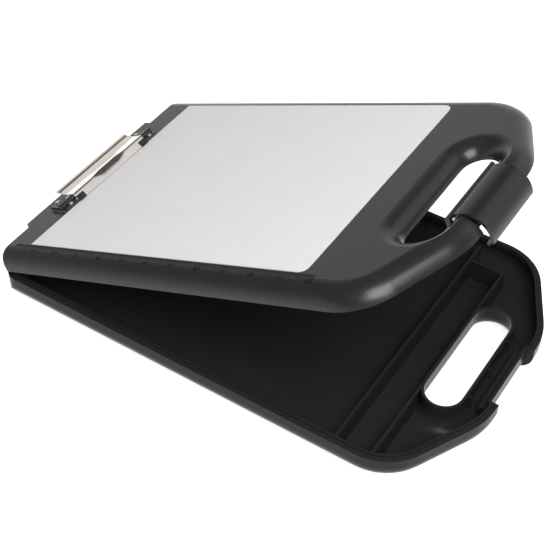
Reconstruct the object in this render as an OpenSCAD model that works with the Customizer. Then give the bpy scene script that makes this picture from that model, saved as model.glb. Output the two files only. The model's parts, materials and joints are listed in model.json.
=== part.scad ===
// Storage clipboard box: a shallow tray with a hinged clipboard lid, a handle end and a spring clip.
// Millimetres. +X runs to the handle, -X to the hinge and the clip, +Z is up.
// The origin is the centre of the tray's footprint, on the surface it rests on.

/* [Case] */
// Length from the hinge wall to the handle end
case_l = 400; // [370:5:430]
// Width across the two long sides
case_w = 256; // [240:2:272]
// Height with the lid closed
case_h = 38; // [37:0.5:40]
// Height of the parting plane between tray and lid
parting_z = 24; // [23.5:0.5:25]
// Wall thickness of both mouldings
wall = 2.2; // [2:0.1:2.6]
// Gap left between two mouldings where they meet or pass
gap = 0.3; // [0.2:0.05:0.4]
// Length of the slanted corners, along X
slant_l = 40; // [34:1:46]
// Width of the straight handle end between the slanted corners
end_w = 101; // [94:1:108]
// Radius where a long side turns into a slanted corner
shoulder_r = 46; // [40:1:52]
// Radius where a slanted corner turns into the handle end
end_r = 60; // [54:1:66]
// Radius of the two corners at the hinge
hinge_corner_r = 12; // [9:1:15]
// Radius of the tray's lower edge
tray_edge_r = 16; // [14:0.5:18]

/* [Lid position] */
// Angle at which the lid stands open
lid_open = 23; // [10:1:40]
// Angle at which the latch hangs open from its closed place
latch_open = 18; // [10:1:30]

/* [Handle] */
// Length of the finger opening, tip to tip
grip_l = 112; // [104:1:118]
// Width of the finger opening
grip_w = 30; // [27:1:33]
// Width of the handle bar, from the opening to the end
bar_w = 25.5; // [24:0.5:28]
// Radius of the flare round the opening in the lid
lid_flare_r = 16; // [15:0.5:17]
// Radius of the flare round the opening under the tray
tray_flare_r = 14; // [6:0.5:15]

/* [Tray] */
// Width of the flat ledge round the tray's rim
ledge_w = 5.7; // [5:0.1:6.5]
// Thickness of the lip that stands on the ledge
lip_t = 1.6; // [1.2:0.1:2]
// Height of the lip above the parting plane
lip_h = 2; // [1.5:0.1:2.2]
// Width of the pen channel between its two walls
channel_w = 27.6; // [22:0.2:32]
// Height of the channel's walls
channel_h = 22; // [16:0.5:23]
// Thickness of the channel's walls
rib_t = 2.4; // [1.8:0.1:3]
// Y of the pen channel's end wall
channel_end_y = 95; // [80:1:105]
// Thickness of the small gussets under the rim
gusset_t = 1.6; // [1.2:0.1:2.2]
// Distance between two gussets
gusset_pitch = 27.4; // [24:0.2:32]

/* [Hinge] */
// Radius of the hinge barrels
barrel_r = 4.2; // [3.8:0.1:4.6]
// Radius of the hinge rod
hinge_rod_r = 1.5; // [1.2:0.1:1.8]
// Width of the lid's hinge tab
tab_w = 160; // [140:2:176]
// Width of each of the tray's hinge ears
ear_w = 11.6; // [9:0.2:14]

/* [Latch] */
// Width of the latch
latch_w = 61.4; // [54:0.2:66]
// Gap between the latch and the sides of its recess
latch_side_gap = 0.6; // [0.4:0.1:0.9]
// Radius of the latch's barrel
latch_barrel_r = 2.6; // [2.4:0.1:2.8]
// Radius of the latch's pin
latch_pin_r = 1.2; // [1:0.1:1.4]
// Distance from the handle end to the latch's pin
latch_pin_in = 19; // [18.5:0.5:19.5]
// Distance from the pin to the top of the hook
hook_r = 27; // [26.7:0.1:27.4]

/* [Clip] */
// Length of the clip, over its end brackets
clip_l = 121; // [112:1:130]
// Width of one end bracket
bracket_w = 14; // [12:0.5:16]
// Distance from the hinge wall to the clip's pivot
pivot_in = 18.2; // [17.5:0.1:19]
// Height of the clip's pivot above the lid
pivot_up = 3.9; // [3.8:0.1:4.2]
// Radius of the clip's pivot rod
pivot_r = 1.5; // [1.3:0.1:1.6]
// Thickness of the clip's sheet metal
sheet_t = 0.9; // [0.7:0.1:1]
// Thickness of the plate under the clip
clip_plate_t = 0.8; // [0.6:0.1:1]
// Radius of the rivets' shanks
rivet_r = 1.2; // [1:0.1:1.4]
// Radius of the rivets' heads
rivet_head_r = 2.1; // [1.8:0.1:2.2]
// Radius of the spring wire
wire_r = 0.4; // [0.3:0.05:0.45]
// Turns of each spring
spring_turns = 8; // [5:1:11]

/* [Paper] */
// Length of the sheets
paper_l = 279.4; // [270:0.1:282]
// Width of the sheets
paper_w = 215.9; // [208:0.1:218]
// Thickness of the stack of sheets
paper_t = 0.6; // [0.4:0.1:0.8]

/* [Hidden] */
$fn = 96;
slop = 0.05;                                   // round fits that turn or are pressed in
seam = 0.08;                                   // how far a turned stretch of a surface stands back from the next one
past = 1;                                      // how far a cutter runs past what it cuts
hx = -case_l / 2;                              // hinge wall
ex = case_l / 2;                               // handle end
side_y = case_w / 2;
slant_a = atan2(side_y - end_w / 2, slant_l);  // direction of the front slanted corner
lid_edge_r = case_h / 2;
lid_z = parting_z + gap;                       // lower edge of the closed lid
rib_foot = wall / 2;                           // depth that ribs reach into the wall that carries them

grip_r = grip_w / 2;
grip_x = ex - bar_w - grip_r;
grip_y = grip_l / 2 - grip_r;

lip_out = ledge_w - lip_t;
rib2_x = grip_x - grip_r - wall - rib_t + rib_foot;
rib1_x = rib2_x - channel_w - rib_t;
rib1_past = 21;                                // how far the first wall runs past the channel's end
rib1_end_y = channel_end_y + rib1_past;
rib_round_r = 9;
gusset_z = 9;
gusset_margin = 60;                            // stretch at the hinge end without gussets
gusset_count = floor((rib1_x - hx - gusset_margin) / gusset_pitch);
nub_w = 1.6;
nub_h = 19;
nub_y = 33;
tray_hinge_r = 5;

axis_x = hx - barrel_r - 0.5;                  // hinge axis, clear of the tray's hinge wall
axis_z = parting_z;
tab_round_r = 3;
rod_l = tab_w + 2 * gap + 2 * ear_w;

recess_w = latch_w + 2 * latch_side_gap;
pin_x = ex - latch_pin_in;
pin_z = case_h - latch_barrel_r;
rail_l = recess_w + 3 * wall;
rail_r = (pin_x - latch_barrel_r - gap - grip_x - grip_r) / 2;
rail_down = 0.6;                               // from the lid's top to the rail's
rail_top = case_h - rail_down;
latch_r = lid_edge_r;
latch_cx = ex - latch_r;
latch_low_a = -32;
hook_in_a = -67;
hook_out_a = -53;
catch_in = 6;
catch_bite = 0.6;                              // how far the hook reaches over the catch
catch_x = ex - catch_in;                       // outer face of the catch under the latch
catch_z = pin_z - sqrt(hook_r * hook_r - pow(catch_x - pin_x, 2)) + catch_bite;
catch_w = 7;
beam_top = parting_z + 4.5;
beam_x = ex - 7;

pivot_x = hx + pivot_in;
pivot_z = case_h + pivot_up;
bracket_y = clip_l / 2 - bracket_w;            // inner face of a bracket
bracket_rear_l = 13.5;                         // from the pivot to the bracket's rear edge
bracket_front_l = 7.4;
bracket_back = pivot_x - bracket_rear_l;
bracket_front = pivot_x + bracket_front_l;
bracket_flange = 2.4;
bracket_boss_r = pivot_r + 1.3;
plate_top = case_h + clip_plate_t;
rivet_x = [bracket_back + rivet_head_r + gap, bracket_front - rivet_head_r];
rivet_head_t = 1.1;
jaw_w = 2 * bracket_y - 1;
jaw_ear_t = 1.2;
jaw_ear_r = pivot_r + 1.4;
grip_pad_w = 8;
grip_pad_t = 0.7;
coil_r = pivot_r + slop + wire_r + 0.15;
coil_out = coil_r + wire_r;
tip_past = 0.9;                                // how far the jaw's tip runs past the brackets
tip_up = 0.5;                                  // its height above the sheets
crest_in = 4;                                  // crest, valley and rear edge: distance from the pivot
valley_in = 6.2;
lever_l = 16.7;
crest_up = 0.9;                                // and height above the springs' turns
valley_down = 0.55;
lever_up = 1.2;
jaw_tip = [bracket_front + tip_past, case_h + paper_t + tip_up];
jaw_crest = [pivot_x + crest_in, pivot_z + coil_out + crest_up];
jaw_valley = [pivot_x - valley_in, pivot_z + coil_out - valley_down];
jaw_back = [pivot_x - lever_l, pivot_z + coil_out + lever_up];
ear_reach = 0.6;                               // how far the ears follow the sheet from the crest, as a share
curl_r = 1.3;
curl_from = 60;
curl_to = 270;
spring_y = 26;
wire_sides = 8;
wire_steps = 12;
coil_from = 250;                               // where the turns leave the lower leg
coil_to = 110;                                 // where they meet the upper leg
low_leg_in = 6.5;                              // reach of the two legs behind the pivot
high_leg_in = 5.5;
high_leg_up = 0.2;

paper_x = bracket_front + gap;                 // edge of the sheets under the jaw
paper_y = side_y - lid_edge_r - paper_w;
paper_corner_r = 7;

// Corners of the rounded sides, counter-clockwise from the front: point, heading in, heading out, radius
CORNERS = [
    [[ex - slant_l, -side_y], 0, slant_a, shoulder_r],
    [[ex, -end_w / 2], slant_a, 90, end_r],
    [[ex, end_w / 2], 90, 180 - slant_a, end_r],
    [[ex - slant_l, side_y], 180 - slant_a, 180, shoulder_r]
];
HINGE_CORNERS = [
    [[hx, side_y], 180, 270, hinge_corner_r],
    [[hx, -side_y], 270, 360, hinge_corner_r]
];

// Straight lines of the rounded sides: a point on each and its heading
SIDE_LINES = concat([[[hx, -side_y], 0]], [for (c = CORNERS) [c[0], c[2]]]);

function heading(a) = [cos(a), sin(a)];
function corner_centre(c) =
    c[0] - heading(c[1]) * c[3] * tan((c[2] - c[1]) / 2) + heading(c[1] + 90) * c[3];

// ---- outlines and sweeps shared by both mouldings ----

// Places a section, drawn as [distance inside the plan, height], along the straight lines of the plan
module along_lines() {
    for (e = SIDE_LINES)
        translate(e[0]) rotate([90, 0, e[1] + 90])
            translate([0, 0, -case_l]) linear_extrude(2 * case_l) children();
}

// Turns the same section round the corners between those lines
module round_corners() {
    for (c = CORNERS)
        translate(corner_centre(c)) rotate(c[1] - 90)
            rotate_extrude(angle = c[2] - c[1]) translate([c[3] - seam, 0]) mirror([1, 0]) children();
}

// What lies outside a side with a quarter round of radius r centred at height z, its face moved in by inset;
// up is 1 for a round at the top and -1 at the bottom
module outside_side(r, inset, z, up, reach) {
    difference() {
        translate([-reach, -case_h]) square([reach + r, 3 * case_h]);
        translate([r, z]) circle(r - inset);
        translate([inset, up > 0 ? z - 3 * case_h : z]) square([2 * case_h, 3 * case_h]);
    }
}

// What lies outside the rounded corners at the hinge wall
module outside_hinge_corners(inset) {
    for (c = HINGE_CORNERS)
        translate(corner_centre(c))
            difference() {
                rotate(c[1] - 90) translate([0, 0, -past]) cube([2 * c[3], 2 * c[3], 2 * case_h]);
                translate([0, 0, -2 * past]) cylinder(r = c[3] - inset - seam, h = 3 * case_h);
            }
}

// Finger opening with a flare of radius r centred at height z, grown by grow
module grip_opening(r, grow, z, up) {
    for (s = [-1, 1])
        translate([grip_x, s * grip_y, 0]) rotate_extrude() grip_section(grip_r, r, grow, z, up);
    for (s = [0, 1])
        translate([grip_x, 0, 0]) mirror([s, 0, 0]) along_y(2 * grip_y)
            translate([-past, 0]) grip_section(grip_r + seam + past, r, grow, z, up);
}

// Half a section of that opening, its straight part half_w wide
module grip_section(half_w, r, grow, z, up) {
    difference() {
        translate([0, -case_h]) square([half_w + r, 3 * case_h]);
        translate([half_w + r, z]) circle(r - grow);
        translate([half_w + grow, up > 0 ? z - 3 * case_h : z]) square([2 * case_h, 3 * case_h]);
    }
}

// Block between two heights with the plan of the case and upright sides, moved in by inset
module plan_block(inset, low, high) {
    difference() {
        translate([hx + inset, -side_y - past, low]) cube([case_l, case_w + 2 * past, high - low]);
        along_lines() translate([-2 * case_h, -case_h]) square([2 * case_h + inset, 3 * case_h]);
        round_corners() translate([-case_h, -case_h]) square([case_h + inset, 3 * case_h]);
        outside_hinge_corners(inset);
    }
}

// Block between two heights with the plan of the case, rounded sides and the finger opening, all faces moved in by inset
module rounded_block(inset, low, high, side_r, side_z, flare_r, flare_z, up) {
    difference() {
        translate([hx + inset, -side_y - past, low]) cube([case_l, case_w + 2 * past, high - low]);
        along_lines() outside_side(side_r, inset, side_z, up, 2 * side_r + case_h);
        round_corners() outside_side(side_r, inset, side_z, up, side_r);
        outside_hinge_corners(inset);
        grip_opening(flare_r, inset, flare_z, up);
    }
}

// Places what is drawn for one end of the clip at both ends of Y
module at_y(y) {
    for (s = [-1, 1])
        translate([0, s * y, 0]) children();
}

// Extrudes a section drawn as [x, z] along Y, centred
module along_y(w) {
    rotate([90, 0, 0]) translate([0, 0, -w / 2]) linear_extrude(w) children();
}

// Ring sector round the origin
module ring(r_in, r_out, from, to) {
    reach = 2 * r_out;
    intersection() {
        difference() {
            circle(r_out);
            circle(r_in);
        }
        polygon([[0, 0], reach * heading(from), reach * heading((from + to) / 2), reach * heading(to)]);
    }
}

// ---- places of the moving bodies ----

module on_lid() {
    translate([axis_x, 0, axis_z]) rotate([0, -lid_open, 0]) translate([-axis_x, 0, -axis_z]) children();
}

module on_latch() {
    on_lid() translate([pin_x, 0, pin_z]) rotate([0, -latch_open, 0]) translate([-pin_x, 0, -pin_z]) children();
}

// ---- tray ----

// Solid form of the tray, with every face moved in by inset
module tray_form(inset) {
    top = parting_z + (inset > 0 ? past : 0);
    difference() {
        rounded_block(inset, inset, top, tray_edge_r, tray_edge_r - seam, tray_flare_r, tray_flare_r - seam, -1);
        translate([hx, 0, 0]) along_y(case_w + 4 * past)
            outside_side(tray_hinge_r, inset, tray_hinge_r - seam, -1, past);
    }
}

// Section of the latch's recess in the tray, grown by grow
module catch_section(grow) {
    translate([catch_x - grow, catch_z]) square([case_h, case_h]);
    translate([catch_x - catch_w - grow, -case_h]) square([case_h, case_h + catch_z + grow]);
}

// Ledge and lip round the rim; the lip ends short of the hinge corners and of the latch's recess
module tray_rim() {
    low = parting_z - wall;
    difference() {
        union() {
            plan_block(rib_foot, low, parting_z);
            difference() {
                plan_block(lip_out, low, parting_z + lip_h);
                translate([hx - past, -case_w / 2, 0]) cube([hinge_corner_r + past, case_w, case_h]);
                translate([grip_x, 0, 0]) along_y(recess_w + 2 * (wall + gap)) square(case_h);
            }
        }
        plan_block(ledge_w, low - past, case_h);
        translate([hx, -case_w / 2, 0]) cube([wall + ledge_w, case_w, case_h]);
    }
}

// One wall of the pen channel, rounded down at the front
module channel_wall(x, end_y) {
    start_y = -side_y + wall - rib_foot;
    translate([x, 0, 0]) rotate([90, 0, 90]) linear_extrude(rib_t)
        difference() {
            translate([start_y, wall - rib_foot]) square([end_y - start_y, channel_h - wall + rib_foot]);
            translate([start_y + ledge_w - wall, channel_h - rib_round_r])
                difference() {
                    translate([-case_h, 0]) square([case_h + rib_round_r, case_h]);
                    translate([rib_round_r, 0]) circle(rib_round_r);
                }
        }
}

module tray_ribs() {
    intersection() {
        tray_form(rib_foot);
        union() {
            channel_wall(rib1_x, rib1_end_y);
            channel_wall(rib2_x, channel_end_y + rib_t);
            translate([rib1_x, channel_end_y, wall - rib_foot])
                cube([channel_w + 2 * rib_t, rib_t, channel_h - wall + rib_foot]);
            for (i = [1 : gusset_count], s = [0, 1])
                mirror([0, s, 0])
                    translate([rib1_x - i * gusset_pitch, -side_y, gusset_z])
                        cube([gusset_t, ledge_w, parting_z - gusset_z - rib_foot]);
            for (y = [-nub_y, 0, nub_y])
                translate([grip_x + grip_r + rib_foot, y - nub_w / 2, wall - rib_foot])
                    cube([2 * nub_w, nub_w, nub_h]);
        }
    }
}

// Hinge ears behind the tray, joined to its hinge wall
module tray_ears() {
    at_y((tab_w + ear_w) / 2 + gap)
        along_y(ear_w) {
            translate([axis_x, axis_z]) circle(barrel_r);
            translate([axis_x, axis_z - barrel_r]) square([hx + rib_foot - axis_x, barrel_r]);
        }
}

module tray() {
    color("#2b2a2a")
        difference() {
            union() {
                difference() {
                    tray_form(0);
                    tray_form(wall);
                }
                tray_rim();
                tray_ribs();
                tray_ears();
                intersection() {
                    tray_form(0);
                    along_y(recess_w + 2 * wall) catch_section(wall);
                }
            }
            along_y(recess_w) catch_section(0);
            translate([axis_x, 0, axis_z]) along_y(rod_l + 2 * past) circle(hinge_rod_r + slop);
        }
}

module hinge_rod() {
    color("silver") translate([axis_x, 0, axis_z]) along_y(rod_l) circle(hinge_rod_r);
}

// ---- lid ----

// Solid form of the closed lid, with every face moved in by inset
module lid_form(inset)
    rounded_block(inset, lid_z - (inset > 0 ? past : 0), case_h - inset,
        lid_edge_r, case_h - lid_edge_r + seam, lid_flare_r, case_h - lid_flare_r + seam, 1);

// Section of the latch's recess in the lid, grown by grow
module recess_section(grow) {
    translate([grip_x + grip_r + (grow > 0 ? 0 : wall), beam_top - grow]) square([case_h, case_h]);
    translate([beam_x - grow, 0]) square([case_h, case_h]);
}

// Round-topped rail between the finger opening and the latch
module grip_rail() {
    along_y(rail_l) {
        translate([grip_x + grip_r + rail_r, rail_top - rail_r]) circle(rail_r);
        translate([grip_x + grip_r, lid_z]) square([2 * rail_r, rail_top - rail_r - lid_z]);
    }
}

// Tab that carries the lid on the hinge rod
module hinge_tab() {
    along_y(tab_w) {
        translate([axis_x, axis_z]) circle(barrel_r);
        translate([axis_x - barrel_r, axis_z]) square([2 * barrel_r, case_h - axis_z - tab_round_r]);
        translate([axis_x - barrel_r + tab_round_r, lid_z])
            square([hx + rib_foot - axis_x + barrel_r - tab_round_r, case_h - lid_z]);
        translate([axis_x - barrel_r + tab_round_r, case_h - tab_round_r]) circle(tab_round_r);
    }
}

// Lid with its latch beam, before the rail is added and the bores are cut
module lid_walls() {
    difference() {
        union() {
            difference() {
                lid_form(0);
                lid_form(wall);
            }
            intersection() {
                lid_form(0);
                along_y(recess_w + 2 * wall) recess_section(wall);
            }
        }
        along_y(recess_w) recess_section(0);
    }
}

module lid_shell() {
    color("#55504c") on_lid()
        difference() {
            union() {
                lid_walls();
                grip_rail();
                hinge_tab();
            }
            translate([pin_x, 0, pin_z]) along_y(recess_w + 2 * wall + past) circle(latch_pin_r + slop);
            translate([axis_x, 0, axis_z]) along_y(tab_w + past) circle(hinge_rod_r + 2 * slop);
            at_y(bracket_y + bracket_w / 2)
                for (x = rivet_x)
                    translate([x, 0, parting_z]) cylinder(r = rivet_r + slop, h = case_h);
        }
}

// ---- latch ----

module latch_shell() {
    color("#4a4643") on_latch()
        along_y(latch_w)
            difference() {
                union() {
                    translate([latch_cx, case_h - latch_r]) ring(latch_r - wall, latch_r, latch_low_a, 90);
                    translate([pin_x, pin_z]) circle(latch_barrel_r);
                    translate([pin_x, pin_z]) ring(hook_r, hook_r + wall, hook_in_a, hook_out_a);
                }
                translate([pin_x, pin_z]) circle(latch_pin_r + 2 * slop);
            }
}

module latch_pin() {
    color("silver") on_lid()
        translate([pin_x, 0, pin_z]) along_y(recess_w + 2 * wall - slop) circle(latch_pin_r);
}

// ---- clip ----

module clip_plate() {
    color("silver") on_lid()
        difference() {
            translate([bracket_back, -clip_l / 2, case_h])
                cube([bracket_front - bracket_back, clip_l, clip_plate_t]);
            at_y(bracket_y + bracket_w / 2)
                for (x = rivet_x)
                    translate([x, 0, 0]) cylinder(r = rivet_r + slop, h = 2 * case_h);
        }
}

// Bracket that holds one end of the pivot rod
module clip_bracket(y) {
    color("#1c1b1b") on_lid() translate([0, y, 0])
        difference() {
            along_y(bracket_w) {
                translate([bracket_back, plate_top]) square([bracket_front - bracket_back, bracket_flange]);
                translate([pivot_x, pivot_z]) circle(bracket_boss_r);
                translate([pivot_x - bracket_boss_r, plate_top]) square([2 * bracket_boss_r, pivot_z - plate_top]);
            }
            translate([pivot_x, 0, pivot_z]) along_y(bracket_w + past) circle(pivot_r + slop);
            for (x = rivet_x)
                translate([x, 0, case_h]) cylinder(r = rivet_r + slop, h = case_h);
        }
}

// Two rivets through one bracket, the plate and the lid
module clip_rivets(y) {
    top = plate_top + bracket_flange;
    color("silver") on_lid()
        for (x = rivet_x)
            translate([x, y, 0]) {
                translate([0, 0, case_h - wall - rivet_head_t])
                    cylinder(r = rivet_r, h = top + rivet_head_t - case_h + wall);
                translate([0, 0, top]) cylinder(r = rivet_head_r, h = rivet_head_t);
                translate([0, 0, case_h - wall - rivet_head_t]) cylinder(r = rivet_head_r, h = rivet_head_t);
            }
}

module clip_pivot_rod() {
    color("silver") on_lid() translate([pivot_x, 0, pivot_z]) along_y(clip_l) circle(pivot_r);
}

// A strip of sheet metal between two points of a section
module strip(a, b, t) {
    run = b - a;
    translate(a) rotate(atan2(run[1], run[0])) square([norm(run), t]);
    for (p = [a, b])
        translate(p) rotate(atan2(run[1], run[0])) translate([0, t / 2]) circle((t - seam) / 2);
}

// Section of the jaw: front plate, crest over the rod, valley and rear lever with its curled edge
module jaw_section() {
    strip(jaw_crest, jaw_tip, sheet_t);
    strip(jaw_valley, jaw_crest, sheet_t);
    strip(jaw_back, jaw_valley, sheet_t);
    translate(jaw_back + [0, sheet_t - curl_r]) ring(curl_r - sheet_t / 2, curl_r, curl_from, curl_to);
}

module clip_jaw() {
    color("silver") on_lid()
        difference() {
            union() {
                along_y(jaw_w) jaw_section();
                at_y((jaw_w - jaw_ear_t) / 2)
                    along_y(jaw_ear_t) {
                        translate([pivot_x, pivot_z]) circle(jaw_ear_r);
                        polygon([
                            [pivot_x - jaw_ear_r, pivot_z],
                            [pivot_x + jaw_ear_r, pivot_z],
                            ear_reach * jaw_crest + (1 - ear_reach) * jaw_tip + [0, sheet_t / 2],
                            jaw_crest + [0, sheet_t / 2],
                            (1 - ear_reach) * jaw_crest + ear_reach * jaw_valley + [0, sheet_t / 2]
                        ]);
                    }
            }
            translate([pivot_x, 0, pivot_z]) along_y(clip_l) circle(pivot_r + slop);
        }
}

// Rubber cap on one front corner of the jaw
module jaw_grip(y) {
    run = jaw_tip - jaw_crest;
    length = norm(run);
    color("#191919") on_lid() translate([0, y, 0])
        along_y(grip_pad_w) translate(jaw_crest) rotate(atan2(run[1], run[0]))
            translate([length / 3, sheet_t]) square([2 * length / 3 + sheet_t / 2, grip_pad_t]);
}

// Points of a spring along Y: a leg on the plate, the turns round the rod, and a leg under the lever
function spring_path(length) =
    let (
        steps = wire_steps * spring_turns,
        low_leg = [pivot_x - low_leg_in, length / 2, plate_top + wire_r],
        high_leg = [pivot_x - high_leg_in, -length / 2, pivot_z + high_leg_up]
    )
    concat(
        [low_leg],
        [for (i = [0 : steps])
            let (a = coil_from + (coil_to + 360 * spring_turns - coil_from) * i / steps)
            [pivot_x + coil_r * cos(a), length * (0.5 - i / steps), pivot_z + coil_r * sin(a)]],
        [high_leg]
    );

// Round wire swept along a path that winds about Y, as one closed mesh
module wire(path) {
    last = len(path) - 1;
    function along(i) = path[min(i + 1, last)] - path[max(i - 1, 0)];
    function unit(v) = v / norm(v);
    function rim(i) =
        let (u = unit(cross(along(i), [0, 1, 0])), v = unit(cross(along(i), u)))
        [for (k = [1 : wire_sides]) let (a = 360 * k / wire_sides) path[i] + wire_r * (cos(a) * u + sin(a) * v)];
    sides = [for (i = [0 : last - 1], k = [0 : wire_sides - 1])
        let (a = i * wire_sides + k, b = i * wire_sides + (k + 1) % wire_sides)
        [a, a + wire_sides, b + wire_sides, b]];
    polyhedron(
        [for (i = [0 : last]) each rim(i)],
        concat(
            [[for (k = [0 : wire_sides - 1]) k]],
            sides,
            [[for (k = [wire_sides - 1 : -1 : 0]) last * wire_sides + k]]
        ),
        convexity = 10
    );
}

module clip_spring(y) {
    color("gray") on_lid() translate([0, y, 0])
        wire(spring_path(spring_turns * 2 * (wire_r + slop)));
}

// ---- paper ----

module paper_sheets() {
    color("#e8e6e4") on_lid()
        translate([0, 0, case_h]) linear_extrude(paper_t) {
            translate([paper_x, paper_y]) square([paper_l - paper_corner_r, paper_w]);
            translate([paper_x, paper_y + paper_corner_r]) square([paper_l, paper_w - 2 * paper_corner_r]);
            for (y = [paper_y + paper_corner_r, paper_y + paper_w - paper_corner_r])
                translate([paper_x + paper_l - paper_corner_r, y]) circle(paper_corner_r);
        }
}

tray();
hinge_rod();
lid_shell();
latch_shell();
latch_pin();
clip_plate();
clip_bracket(-bracket_y - bracket_w / 2);  // clip_bracket_near
clip_bracket(bracket_y + bracket_w / 2);  // clip_bracket_far
clip_rivets(-bracket_y - bracket_w / 2);  // clip_rivets_near
clip_rivets(bracket_y + bracket_w / 2);  // clip_rivets_far
clip_pivot_rod();
clip_spring(-spring_y);  // clip_spring_near
clip_spring(spring_y);  // clip_spring_far
clip_jaw();
jaw_grip(-(jaw_w - grip_pad_w) / 2);  // jaw_grip_near
jaw_grip((jaw_w - grip_pad_w) / 2);  // jaw_grip_far
paper_sheets();
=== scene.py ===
import json
import math

import bpy
import bmesh
import numpy as np
from mathutils import Matrix, Vector


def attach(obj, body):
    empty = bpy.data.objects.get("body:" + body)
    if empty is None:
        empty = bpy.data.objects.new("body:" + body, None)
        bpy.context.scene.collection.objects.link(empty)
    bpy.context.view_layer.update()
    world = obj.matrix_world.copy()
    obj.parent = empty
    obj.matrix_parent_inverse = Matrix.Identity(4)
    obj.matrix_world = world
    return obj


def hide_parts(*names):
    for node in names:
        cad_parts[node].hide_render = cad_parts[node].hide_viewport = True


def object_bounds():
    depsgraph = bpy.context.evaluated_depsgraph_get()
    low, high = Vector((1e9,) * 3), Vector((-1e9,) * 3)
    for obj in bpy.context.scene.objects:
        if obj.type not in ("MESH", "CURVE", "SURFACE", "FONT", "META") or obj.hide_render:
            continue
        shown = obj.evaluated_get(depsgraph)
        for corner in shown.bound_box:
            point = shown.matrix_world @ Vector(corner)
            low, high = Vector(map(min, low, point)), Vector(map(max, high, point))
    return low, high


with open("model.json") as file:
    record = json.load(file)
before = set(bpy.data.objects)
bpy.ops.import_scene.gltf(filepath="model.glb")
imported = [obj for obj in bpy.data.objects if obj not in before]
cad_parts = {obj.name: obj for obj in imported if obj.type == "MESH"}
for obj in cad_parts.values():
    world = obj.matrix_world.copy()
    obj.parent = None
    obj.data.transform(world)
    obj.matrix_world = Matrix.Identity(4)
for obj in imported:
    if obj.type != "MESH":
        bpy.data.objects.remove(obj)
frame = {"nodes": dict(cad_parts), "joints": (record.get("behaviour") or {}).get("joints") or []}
cad_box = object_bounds()
NODES = frame["nodes"]
JOINTS = {j["name"]: j for j in frame["joints"]}

# Sizes of the part, in metres, repeated from its source
CASE_H = 0.038
SIDE_Y = 0.128
LID_ROLL = 0.019
PIVOT = Vector((-0.1818, 0.0, 0.0419))
SHEET_T = 0.0009
PAPER_W = 0.2159
PAPER_EDGE_Y = SIDE_Y - LID_ROLL - PAPER_W


# ---------------------------------------------------------------- camera

AZIMUTH, ELEVATION, ROLL = 31.98, 44.32, 0.72
DISTANCE = 0.9948
TARGET = Vector((0.0, 0.0, 0.0516))
FOCAL_PX, CENTRE_PX = 1243.7, (293.9, 250.4)
PHOTO_PX = 560.0
SENSOR = 36.0


def add_camera():
    a, e, r = (math.radians(v) for v in (AZIMUTH, ELEVATION, ROLL))
    back = Vector((math.sin(a) * math.cos(e), -math.cos(a) * math.cos(e), math.sin(e)))
    right = (-back).cross(Vector((0, 0, 1))).normalized()
    up = right.cross(-back)
    right_r = math.cos(r) * right + math.sin(r) * up
    up_r = -math.sin(r) * right + math.cos(r) * up
    camera = bpy.data.objects.new("camera", bpy.data.cameras.new("camera"))
    camera.matrix_world = (
        Matrix.Translation(TARGET + back * DISTANCE)
        @ Matrix((right_r, up_r, back)).transposed().to_4x4()
    )
    camera.data.sensor_width = SENSOR
    camera.data.lens = FOCAL_PX / PHOTO_PX * SENSOR
    camera.data.shift_x = -(CENTRE_PX[0] - PHOTO_PX / 2) / PHOTO_PX
    camera.data.shift_y = (CENTRE_PX[1] - PHOTO_PX / 2) / PHOTO_PX
    camera.data.clip_start = 0.01
    bpy.context.scene.collection.objects.link(camera)
    bpy.context.scene.camera = camera


add_camera()


# ---------------------------------------------------------------- materials

class Nodes:
    """A material's node tree with short calls for the nodes used here."""

    def __init__(self, name):
        self.material = bpy.data.materials.new(name)
        self.material.use_nodes = True
        self.tree = self.material.node_tree
        self.tree.nodes.clear()
        self.out = self.tree.nodes.new("ShaderNodeOutputMaterial")
        self.coords = self.tree.nodes.new("ShaderNodeTexCoord").outputs["Object"]

    def link(self, a, b):
        self.tree.links.new(a, b)

    def add(self, kind, **inputs):
        node = self.tree.nodes.new(kind)
        for key, value in inputs.items():
            key = key.replace("_", " ")
            if isinstance(value, bpy.types.NodeSocket):
                self.link(value, node.inputs[key])
            else:
                node.inputs[key].default_value = value
        return node

    def noise(self, scale, detail=2.0, roughness=0.5, stretch=None):
        vector = self.coords
        if stretch:
            mapping = self.add("ShaderNodeMapping", Vector=vector, Scale=stretch)
            vector = mapping.outputs["Vector"]
        inputs = {"Scale": scale, "Detail": detail, "Roughness": roughness}
        return self.add("ShaderNodeTexNoise", Vector=vector, **inputs).outputs["Fac"]

    def ramp(self, fac, stops):
        """A ramp between two stops, each a position and a colour, the lower one first."""
        node = self.add("ShaderNodeValToRGB", Fac=fac)
        for element, (at, colour) in zip(node.color_ramp.elements, stops):
            element.position = at
            element.color = (*colour, 1.0)
        return node.outputs["Color"]

    def math(self, op, a, b):
        node = self.tree.nodes.new("ShaderNodeMath")
        node.operation = op
        for socket, value in zip(node.inputs, (a, b)):
            if isinstance(value, bpy.types.NodeSocket):
                self.link(value, socket)
            else:
                socket.default_value = value
        return node.outputs["Value"]

    def span(self, fac, low, high):
        node = self.add("ShaderNodeMapRange", Value=fac)
        node.inputs["To Min"].default_value = low
        node.inputs["To Max"].default_value = high
        return node.outputs["Result"]

    def bump(self, height, strength, distance, normal=None):
        node = self.add("ShaderNodeBump", Height=height, Strength=strength, Distance=distance)
        if normal:
            self.link(normal, node.inputs["Normal"])
        return node.outputs["Normal"]

    def principled(self, **inputs):
        node = self.add("ShaderNodeBsdfPrincipled", **inputs)
        self.link(node.outputs["BSDF"], self.out.inputs["Surface"])
        return self.material


def grey(value, warm=0.0):
    return (value * (1 + warm), value, value * (1 - warm))


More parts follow.
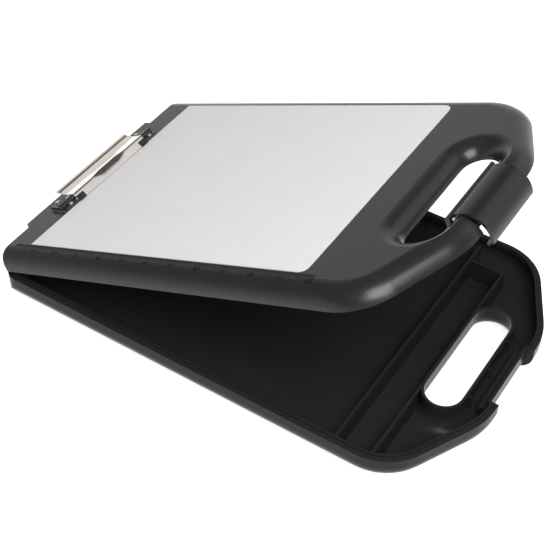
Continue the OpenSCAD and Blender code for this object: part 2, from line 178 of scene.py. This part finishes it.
def plastic(name, tone, warm, roughness, grain, specular):
    """Moulded plastic with a fine grain, slight flow marks and handling wear in its gloss."""
    n = Nodes(name)
    flow = n.noise(9.0, detail=3.0, roughness=0.55, stretch=(1.0, 2.2, 1.0))
    speck = n.noise(1500.0, detail=1.0)
    tone_fac = n.math("ADD", n.math("MULTIPLY", flow, 0.6), n.math("MULTIPLY", speck, 0.4))
    colour = n.ramp(tone_fac, [(0.3, grey(tone * 0.86, warm)), (0.7, grey(tone * 1.14, warm))])
    wear = n.noise(28.0, detail=4.0, roughness=0.6)
    gloss = n.span(wear, low=roughness - 0.02, high=roughness + 0.03)
    fine = n.bump(n.noise(2100.0, detail=2.0, roughness=0.6), grain, distance=0.00012)
    wave = n.bump(n.noise(16.0, detail=1.0), 0.05, distance=0.0004, normal=fine)
    return n.principled(Base_Color=colour, Roughness=gloss, Normal=wave, Specular_IOR_Level=specular)


def metal(name, tone, roughness, warm, brush=0.05):
    """Polished sheet metal with fine draw marks and a little tarnish."""
    n = Nodes(name)
    drawn = n.noise(900.0, detail=3.0, roughness=0.6, stretch=(1.0, 0.05, 1.0))
    cloud = n.noise(60.0, detail=4.0, roughness=0.6)
    colour = n.ramp(cloud, [(0.3, grey(tone * 0.92, warm)), (0.75, grey(tone, warm))])
    gloss = n.span(n.math("MULTIPLY", drawn, cloud), low=roughness * 0.7, high=roughness * 1.9)
    marks = n.bump(drawn, brush, distance=0.00008)
    return n.principled(Base_Color=colour, Roughness=gloss, Metallic=1.0, Normal=marks)


def painted_metal(name):
    """Black enamel over pressed steel, slightly orange-peeled."""
    n = Nodes(name)
    cloud = n.noise(120.0, detail=3.0)
    colour = n.ramp(cloud, [(0.3, grey(0.012)), (0.75, grey(0.026))])
    gloss = n.span(cloud, low=0.22, high=0.36)
    peel = n.bump(n.noise(700.0, detail=2.0), 0.15, distance=0.0001)
    return n.principled(Base_Color=colour, Roughness=gloss, Normal=peel,
                        Coat_Weight=0.4, Coat_Roughness=0.15)


def rubber(name):
    """Soft black rubber, matt and slightly rough."""
    n = Nodes(name)
    cloud = n.noise(400.0, detail=3.0)
    colour = n.ramp(cloud, [(0.3, grey(0.010)), (0.75, grey(0.020))])
    gloss = n.span(cloud, low=0.5, high=0.7)
    tooth = n.bump(n.noise(2500.0, detail=2.0), 0.3, distance=0.0001)
    return n.principled(Base_Color=colour, Roughness=gloss, Normal=tooth)


def ink(name):
    """Flat black, slightly uneven, on marks that are real: painted shade standing in for the shade in the
    ruler's engraved ticks and numerals.
    """
    n = Nodes(name)
    cloud = n.noise(300.0, detail=3.0)
    colour = n.ramp(cloud, [(0.3, grey(0.004)), (0.75, grey(0.010))])
    gloss = n.span(cloud, low=0.6, high=0.8)
    return n.principled(Base_Color=colour, Roughness=gloss, Specular_IOR_Level=0.08)


def paper(name):
    """Uncoated office paper: faint fibre mottling and tooth."""
    n = Nodes(name)
    fibre = n.noise(700.0, detail=5.0, roughness=0.7, stretch=(1.0, 0.6, 1.0))
    cloud = n.noise(45.0, detail=4.0, roughness=0.6)
    both = n.math("ADD", n.math("MULTIPLY", fibre, 0.4), n.math("MULTIPLY", cloud, 0.6))
    colour = n.ramp(both, [(0.3, (0.775, 0.765, 0.785)), (0.7, (0.815, 0.808, 0.822))])
    gloss = n.span(fibre, low=0.75, high=0.9)
    tooth = n.bump(fibre, 0.25, distance=0.00006)
    return n.principled(Base_Color=colour, Roughness=gloss, Normal=tooth, Specular_IOR_Level=0.3)


MATERIALS = {
    "tray_plastic": plastic("tray_black", tone=0.020, warm=0.01, roughness=0.26, grain=0.10, specular=0.09),
    "lid_plastic": plastic("lid_grey", tone=0.020, warm=0.07, roughness=0.27, grain=0.22, specular=0.46),
    "latch_plastic": plastic("latch_grey", tone=0.015, warm=0.04, roughness=0.26, grain=0.18, specular=0.45),
    "clip_chrome": metal("clip_chrome", tone=0.90, roughness=0.13, warm=0.05),
    "steel": metal("steel", tone=0.62, roughness=0.22, warm=0.02),
    "bracket_metal": painted_metal("bracket_black"),
    "grip_rubber": rubber("grip_rubber"),
    "paper": paper("paper_white"),
    # The ruler's marks are real; their black is painted shade in place of the shade in engraved grooves.
    "ruler_engraving_shade": ink("ruler_engraving_shade"),
}
FINISH = {
    "tray": "tray_plastic", "hinge_rod": "steel", "lid_shell": "lid_plastic",
    "latch_shell": "latch_plastic", "latch_pin": "steel", "clip_plate": "steel",
    "clip_bracket_near": "bracket_metal", "clip_bracket_far": "bracket_metal",
    "clip_rivets_near": "steel", "clip_rivets_far": "steel", "clip_pivot_rod": "steel",
    "clip_spring_near": "steel", "clip_spring_far": "steel", "clip_jaw": "clip_chrome",
    "jaw_grip_near": "grip_rubber", "jaw_grip_far": "grip_rubber", "paper_sheets": "paper",
}


for node_name, slot in FINISH.items():
    node = NODES[node_name]
    if len(node.material_slots) == 0:
        node.data.materials.append(MATERIALS[slot])
    for held in node.material_slots:
        held.material = MATERIALS[slot]


# ---------------------------------------------------------------- pieces

def turn_about(point, degrees):
    """The turn about the Y axis through a point, in the sense that opens the lid."""
    place = Matrix.Translation(point)
    return place @ Matrix.Rotation(math.radians(-degrees), 4, "Y") @ place.inverted()


LID_HINGE = JOINTS["lid_hinge"]
LID_OPEN = -LID_HINGE["range_deg"][0]
ON_LID = turn_about(Vector(LID_HINGE["pos_m"]), LID_OPEN)


def make_piece(name, mesh, body, slot, place=None, finish=None):
    if place:
        mesh.transform(place)
    obj = bpy.data.objects.new(name, mesh)
    bpy.context.scene.collection.objects.link(obj)
    mesh.materials.append(MATERIALS[finish or slot])
    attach(obj, body)
    return obj


EDGE_SEGMENTS, EDGE_ANGLE = 2, 35.0


def soften(obj, width):
    """Small rounds on the sharp edges, with smooth shading between them."""
    mesh = obj.data
    mesh.shade_smooth()
    bevel = obj.modifiers.new("edge_round", "BEVEL")
    bevel.width = width
    bevel.segments = EDGE_SEGMENTS
    bevel.limit_method = "ANGLE"
    bevel.angle_limit = math.radians(EDGE_ANGLE)
    bevel.use_clamp_overlap = False
    bevel.miter_outer = "MITER_ARC"
    bevel.harden_normals = True


def lid_top(y):
    """Height of the closed lid's top at y, over the rounded side as well."""
    inside = min(SIDE_Y - abs(y), LID_ROLL)
    return CASE_H - LID_ROLL + math.sqrt(LID_ROLL ** 2 - (LID_ROLL - inside) ** 2)


# ---- ruler along the lid's front edge

INCH = 0.0254
RULER_INCHES = 12
RULER_X = -0.1895
RULER_FROM_PAPER = 0.0007
RULER_Y = PAPER_EDGE_Y - RULER_FROM_PAPER
TICK_STEPS = 16
TICK_LENGTHS = {16: 0.0072, 8: 0.0046, 4: 0.0040, 2: 0.0034, 1: 0.0028}
TICK_W = 0.00070
TICK_RISE = 0.00012
MARK_STEP = 0.0008
DIGIT_SIZE = 0.0050
DIGIT_BOLD = 0.00012
DIGIT_ASIDE, DIGIT_DOWN = 0.0030, 0.0078


def digit_mesh(text):
    curve = bpy.data.curves.new("digit", "FONT")
    curve.body = text
    curve.size = DIGIT_SIZE
    curve.align_x = "CENTER"
    curve.extrude = TICK_RISE
    curve.offset = DIGIT_BOLD
    curve.resolution_u = 3
    obj = bpy.data.objects.new("digit", curve)
    bpy.context.scene.collection.objects.link(obj)
    depsgraph = bpy.context.evaluated_depsgraph_get()
    mesh = bpy.data.meshes.new_from_object(obj.evaluated_get(depsgraph))
    bpy.data.objects.remove(obj)
    bpy.data.curves.remove(curve)
    return mesh


def add_ruler():
    """Marks laid out flat, cut across every MARK_STEP and then laid over the rounded edge."""
    bm = bmesh.new()
    for step in range(RULER_INCHES * TICK_STEPS + 1):
        finest = max(k for k in TICK_LENGTHS if step % k == 0)
        length = TICK_LENGTHS[finest]
        for v in bmesh.ops.create_cube(bm, size=1.0)["verts"]:
            x = RULER_X + step * INCH / TICK_STEPS + v.co.x * TICK_W
            v.co = Vector((x, RULER_Y + (v.co.y - 0.5) * length, v.co.z * 2 * TICK_RISE))
    for inch in range(1, RULER_INCHES + 1):
        mesh = digit_mesh(str(inch))
        place = Vector((RULER_X + inch * INCH - DIGIT_ASIDE, RULER_Y - DIGIT_DOWN, 0.0))
        mesh.transform(Matrix.Translation(place))
        bm.from_mesh(mesh)
        bpy.data.meshes.remove(mesh)
    low = min(v.co.y for v in bm.verts)
    for i in range(1, math.ceil((RULER_Y - low) / MARK_STEP)):
        everything = bm.verts[:] + bm.edges[:] + bm.faces[:]
        cut = (0, RULER_Y - i * MARK_STEP, 0)
        bmesh.ops.bisect_plane(bm, geom=everything, plane_co=cut, plane_no=(0, 1, 0))
    for v in bm.verts:
        v.co.z += lid_top(v.co.y)
    mesh = bpy.data.meshes.new("ruler_marks")
    bm.to_mesh(mesh)
    bm.free()
    # The marks take the black painted-shade finish in place of the shade in engraved ticks.
    make_piece("ruler_marks", mesh, "lid", "lid_plastic", ON_LID, "ruler_engraving_shade")


add_ruler()


# ---- sprung jaw of the clip

JAW_HALF_W = 0.046
JAW_TIP = PIVOT + Vector((0.0083, 0.0, -0.0028))
JAW_CREST = PIVOT + Vector((0.0040, 0.0, 0.0034))
JAW_VALLEY = PIVOT + Vector((-0.0062, 0.0, 0.00195))
JAW_BEND = PIVOT + Vector((-0.0132, 0.0, 0.0028))
JAW_BACK = PIVOT + Vector((-0.0167, 0.0, 0.0045))
JAW_STATIONS = 93
BEND_R = 0.0016
CURL_R = 0.00085
CURL_FROM, CURL_STEP, CURL_STEPS = 90, 20, 10
HUMP_HALF_W, HUMP_FADE = 0.009, 0.015
TIP_LEAN_X, TIP_LEAN_Z = 0.83, 0.55
EAR_R, EAR_T = 0.0029, 0.0012
EAR_POINTS = 24
EAR_TO_TIP, EAR_TO_VALLEY = 0.4, 0.6
JAW_EDGE_ROUND, JAW_EDGE_ANGLE = 0.0002, 50
HUMP_CREST = Vector((-0.0017, 0.0, 0.0004))
HUMP_TIP = Vector((0.0007, 0.0, -0.0001))


def smooth_step(value):
    value = min(max(value, 0.0), 1.0)
    return value * value * (3 - 2 * value)


def rounded_path(points, radius, steps=6):
    """A path in the XZ plane through points, its inner corners rounded."""
    path = [points[0]]
    for before, corner, after in zip(points, points[1:], points[2:]):
        a, b = (before - corner).normalized(), (after - corner).normalized()
        cut = radius / math.tan(a.angle(b) / 2)
        start, end = corner + a * cut, corner + b * cut
        for i in range(steps + 1):
            t = i / steps
            path.append((1 - t) ** 2 * start + 2 * t * (1 - t) * corner + t * t * end)
    path.append(points[-1])
    return path


def jaw_path(y):
    """The middle of the jaw's sheet from its tip to its curled rear edge, at one y."""
    hump = 1 - smooth_step((abs(y) - HUMP_HALF_W) / HUMP_FADE)
    lift = Vector((0.0, 0.0, SHEET_T / 2))
    lean = Vector((SHEET_T / 2 * TIP_LEAN_X, 0.0, SHEET_T / 2 * TIP_LEAN_Z))
    points = [
        JAW_TIP + lean + HUMP_TIP * hump,
        JAW_CREST + lift + HUMP_CREST * hump,
        JAW_VALLEY + lift,
        JAW_BEND + lift,
        JAW_BACK + lift,
    ]
    path = rounded_path(points, BEND_R)
    centre = JAW_BACK + lift - Vector((0.0, 0.0, CURL_R))
    for i in range(1, CURL_STEPS + 1):
        a = math.radians(CURL_FROM + CURL_STEP * i)
        path.append(centre + Vector((CURL_R * math.cos(a), 0.0, CURL_R * math.sin(a))))
    return [Vector((p.x, y, p.z)) for p in path]


def add_jaw():
    rows = [jaw_path(JAW_HALF_W * (2 * i / (JAW_STATIONS - 1) - 1)) for i in range(JAW_STATIONS)]
    bm = bmesh.new()
    grid = [[bm.verts.new(p) for p in row] for row in rows]
    for near, far in zip(grid, grid[1:]):
        for i in range(len(near) - 1):
            bm.faces.new((near[i], near[i + 1], far[i + 1], far[i]))
    bmesh.ops.recalc_face_normals(bm, faces=bm.faces)
    mesh = bpy.data.meshes.new("jaw_plate")
    bm.to_mesh(mesh)
    bm.free()
    mesh.shade_smooth()
    plate = make_piece("jaw_plate", mesh, "jaw", "clip_chrome", ON_LID)
    solid = plate.modifiers.new("sheet", "SOLIDIFY")
    solid.thickness = SHEET_T
    solid.offset = 0.0
    bevel = plate.modifiers.new("edge_round", "BEVEL")
    bevel.width = JAW_EDGE_ROUND
    bevel.segments = 2
    bevel.angle_limit = math.radians(JAW_EDGE_ANGLE)
    ears = bmesh.new()
    for side in (-1, 1):
        shape = [PIVOT + Vector((EAR_R * math.cos(a), 0.0, EAR_R * math.sin(a)))
                 for a in np.linspace(0, 2 * math.pi, EAR_POINTS, endpoint=False)]
        shape.append(JAW_CREST)
        shape.append(JAW_CREST * (1 - EAR_TO_TIP) + JAW_TIP * EAR_TO_TIP)
        shape.append(JAW_CREST * (1 - EAR_TO_VALLEY) + JAW_VALLEY * EAR_TO_VALLEY)
        made = [ears.verts.new((p.x, side * (JAW_HALF_W - w), p.z)) for p in shape for w in (0.0, EAR_T)]
        hull = bmesh.ops.convex_hull(ears, input=made)
        inner = [v for v in hull["geom_interior"] if isinstance(v, bmesh.types.BMVert)]
        bmesh.ops.delete(ears, geom=inner, context="VERTS")
    mesh = bpy.data.meshes.new("jaw_ears")
    ears.to_mesh(mesh)
    ears.free()
    ears_piece = make_piece("jaw_ears", mesh, "jaw", "clip_chrome", ON_LID)
    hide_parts("clip_jaw")
    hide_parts("clip_jaw")


add_jaw()


# ---- the jaw's two springs: their turns stay on the lid, their upper legs go with the jaw
# Each leg is a little thinner than the wire and starts inside the last turn, so that no gap opens.

SPRING_Y = 0.026
WIRE_R, LEG_INNER_R = 0.0004, 0.00034
COIL_R = 0.0021
SPRING_TURNS = 8
TURN_GAP = 0.0001
SPRING_L = SPRING_TURNS * (2 * WIRE_R + TURN_GAP)
COIL_FROM, COIL_END = 250, 110
COIL_TO = COIL_END + 360 * SPRING_TURNS
TURN_STEP = 15
LEG_OVERLAP = 45
LOW_LEG = PIVOT + Vector((-0.0065, 0.0, -0.0027))
HIGH_LEG = PIVOT + Vector((-0.0055, 0.0, 0.0002))


def spring_point(middle, degrees):
    along = 0.5 - (degrees - COIL_FROM) / (COIL_TO - COIL_FROM)
    a = math.radians(degrees)
    return PIVOT + Vector((COIL_R * math.cos(a), middle + SPRING_L * along, COIL_R * math.sin(a)))


def wire_mesh(name, path, radius, sides=10):
    """Round wire along a path that winds about Y, closed at both ends."""
    bm = bmesh.new()
    rings = []
    for i, point in enumerate(path):
        along = path[min(i + 1, len(path) - 1)] - path[max(i - 1, 0)]
        u = along.cross(Vector((0, 1, 0))).normalized()
        v = along.cross(u).normalized()
        angles = [2 * math.pi * k / sides for k in range(sides)]
        ring = [point + radius * (math.cos(a) * u + math.sin(a) * v) for a in angles]
        rings.append([bm.verts.new(p) for p in ring])
    for near, far in zip(rings, rings[1:]):
        for k in range(sides):
            bm.faces.new((near[k], near[(k + 1) % sides], far[(k + 1) % sides], far[k]))
    bm.faces.new(rings[0])
    bm.faces.new(rings[-1])
    bmesh.ops.recalc_face_normals(bm, faces=bm.faces)
    mesh = bpy.data.meshes.new(name)
    bm.to_mesh(mesh)
    bm.free()
    mesh.shade_smooth()
    return mesh


def add_spring(end, middle):
    low = LOW_LEG + Vector((0.0, middle + SPRING_L / 2, 0.0))
    high = HIGH_LEG + Vector((0.0, middle - SPRING_L / 2, 0.0))
    turn_angles = range(COIL_FROM, COIL_TO - TURN_STEP + 1, TURN_STEP)
    leg_angles = range(COIL_TO - LEG_OVERLAP, COIL_TO + 1, TURN_STEP)
    turns = [low] + [spring_point(middle, d) for d in turn_angles]
    leg = [spring_point(middle, d) for d in leg_angles] + [high]
    name = f"spring_turns_{end}"
    coil = make_piece(name, wire_mesh(name, turns, WIRE_R), "lid", "steel", ON_LID)
    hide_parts(f"clip_spring_{end}")
    name = f"spring_leg_{end}"
    make_piece(name, wire_mesh(name, leg, LEG_INNER_R), "jaw", "steel", ON_LID)


add_spring("near", -SPRING_Y)
add_spring("far", SPRING_Y)


# ---- small rounds on the nodes' own edges

EDGE_ROUNDS = {
    "tray": 0.0005, "lid_shell": 0.0004, "latch_shell": 0.0005, "clip_bracket_near": 0.0003,
    "clip_bracket_far": 0.0003, "clip_rivets_near": 0.0004, "clip_rivets_far": 0.0004,
    "clip_plate": 0.0002, "hinge_rod": 0.0003, "latch_pin": 0.0003, "clip_pivot_rod": 0.0003,
    "jaw_grip_near": 0.0002, "jaw_grip_far": 0.0002, "paper_sheets": 0.0001,
}
for node_name, width in EDGE_ROUNDS.items():
    soften(NODES[node_name], width)


# ---------------------------------------------------------------- stage

# Light that surfaces get from all round, and the floor's own glow as the camera and as gloss see it
AMBIENT = 0.35
FLOOR_GLOW, FLOOR_GLOSS = 0.7, 0.5
# What gloss shows of the studio, by direction: a window towards +Y and a glow along the horizon
WINDOW_Y, WINDOW_EDGE = 0.2, 4.0
HORIZON, HORIZON_TOP, HORIZON_EDGE = 0.75, 0.28, 8.0
STUDIO_TINT = (1.0, 0.955, 0.925)
STUDIO_DARK = 0.05
# The window's brightness by the sine of the elevation: bright low down, dark above, dim overhead
SKY = ((0.44, 0.74), (0.58, 0.08), (0.85, 0.08), (1.0, 0.3))


FLOOR_HALF_W, FLOOR_GAP, FLOOR_WHITE = 6.0, 0.0004, 0.86
# Name, place, aim, side in metres and power in watts
LIGHTS = (
    ("key", (0.7, -0.7, 1.5), (0.0, 0.0, 0.05), 1.1, 30.5),
    ("clip_light", (0.475, 0.82, 1.0), (-0.18, 0.0, 0.15), 0.7, 1.0),
)


def add_floor():
    mesh = bpy.data.meshes.new("floor")
    side = FLOOR_HALF_W
    low = cad_box[0][2] - FLOOR_GAP
    corners = [(-side, -side, low), (side, -side, low), (side, side, low), (-side, side, low)]
    mesh.from_pydata(corners, [], [(0, 1, 2, 3)])
    floor = bpy.data.objects.new("floor", mesh)
    bpy.context.scene.collection.objects.link(floor)
    n = Nodes("floor_white")
    diffuse = n.add("ShaderNodeBsdfDiffuse", Color=(*grey(FLOOR_WHITE), 1.0))
    path = n.tree.nodes.new("ShaderNodeLightPath")
    glow = n.add("ShaderNodeEmission", Color=(1.0, 1.0, 1.0, 1.0),
                 Strength=n.span(path.outputs["Is Camera Ray"], FLOOR_GLOSS, FLOOR_GLOW))
    lit = n.tree.nodes.new("ShaderNodeAddShader")
    n.link(diffuse.outputs[0], lit.inputs[0])
    n.link(glow.outputs[0], lit.inputs[1])
    mix = n.tree.nodes.new("ShaderNodeMixShader")
    seen = n.math("MAXIMUM", path.outputs["Is Camera Ray"], path.outputs["Is Glossy Ray"])
    seen = n.math("MAXIMUM", seen, path.outputs["Is Transmission Ray"])
    n.link(seen, mix.inputs[0])
    n.link(diffuse.outputs[0], mix.inputs[1])
    n.link(lit.outputs[0], mix.inputs[2])
    n.link(mix.outputs[0], n.out.inputs["Surface"])
    floor.data.materials.append(n.material)


def add_studio():
    world = bpy.data.worlds.new("studio")
    bpy.context.scene.world = world
    world.use_nodes = True
    tree = world.node_tree
    tree.nodes.clear()
    out = tree.nodes.new("ShaderNodeOutputWorld")
    path = tree.nodes.new("ShaderNodeLightPath")
    coords = tree.nodes.new("ShaderNodeTexCoord")
    split = tree.nodes.new("ShaderNodeSeparateXYZ")
    tree.links.new(coords.outputs["Generated"], split.inputs[0])
    ramp = tree.nodes.new("ShaderNodeValToRGB")
    tree.links.new(split.outputs["Z"], ramp.inputs["Fac"])
    stops = ramp.color_ramp.elements
    stops[0].position, stops[-1].position = SKY[0][0], SKY[-1][0]
    for at, _ in SKY[1:-1]:
        stops.new(at)
    for stop, (_, level) in zip(stops, SKY):
        stop.color = (level, level, level, 1.0)

    def number(op, a, b):
        node = tree.nodes.new("ShaderNodeMath")
        node.operation = op
        for socket, value in zip(node.inputs, (a, b)):
            if isinstance(value, bpy.types.NodeSocket):
                tree.links.new(value, socket)
            else:
                socket.default_value = value
        return node.outputs["Value"]

    # a window on the far side, a glow along the horizon all round, and a dark room above
    facing = number("MULTIPLY", number("SUBTRACT", split.outputs["Y"], WINDOW_Y), WINDOW_EDGE)
    facing = number("MINIMUM", number("MAXIMUM", facing, 0.0), 1.0)
    low = number("MULTIPLY", number("SUBTRACT", HORIZON_TOP, split.outputs["Z"]), HORIZON_EDGE)
    low = number("MULTIPLY", number("MINIMUM", number("MAXIMUM", low, 0.0), 1.0), HORIZON)
    low = number("MAXIMUM", low, STUDIO_DARK)
    window = number("MAXIMUM", number("MULTIPLY", facing, ramp.outputs["Color"]), low)

    def background(strength, tint=(1.0, 1.0, 1.0)):
        node = tree.nodes.new("ShaderNodeBackground")
        node.inputs["Color"].default_value = (*tint, 1.0)
        if isinstance(strength, bpy.types.NodeSocket):
            tree.links.new(strength, node.inputs["Strength"])
        else:
            node.inputs["Strength"].default_value = strength
        return node.outputs[0]

    def choose(fac, off, on):
        node = tree.nodes.new("ShaderNodeMixShader")
        for socket, value in zip(node.inputs, (fac, off, on)):
            tree.links.new(value, socket)
        return node.outputs[0]

    light = choose(path.outputs["Is Glossy Ray"], background(AMBIENT), background(window, STUDIO_TINT))
    seen = choose(path.outputs["Is Transmission Ray"], light, background(1.0))
    seen = choose(path.outputs["Is Camera Ray"], seen, background(1.0))
    tree.links.new(seen, out.inputs["Surface"])


def add_area(name, place, aim, side, power):
    light = bpy.data.lights.new(name, "AREA")
    light.shape = "RECTANGLE"
    light.size = light.size_y = side
    light.energy = power
    obj = bpy.data.objects.new(name, light)
    obj.location = place
    obj.rotation_euler = (Vector(aim) - Vector(place)).to_track_quat("-Z", "Y").to_euler()
    bpy.context.scene.collection.objects.link(obj)


add_floor()
add_studio()
for values in LIGHTS:
    add_area(*values)
bpy.context.scene.view_settings.view_transform = "Standard"
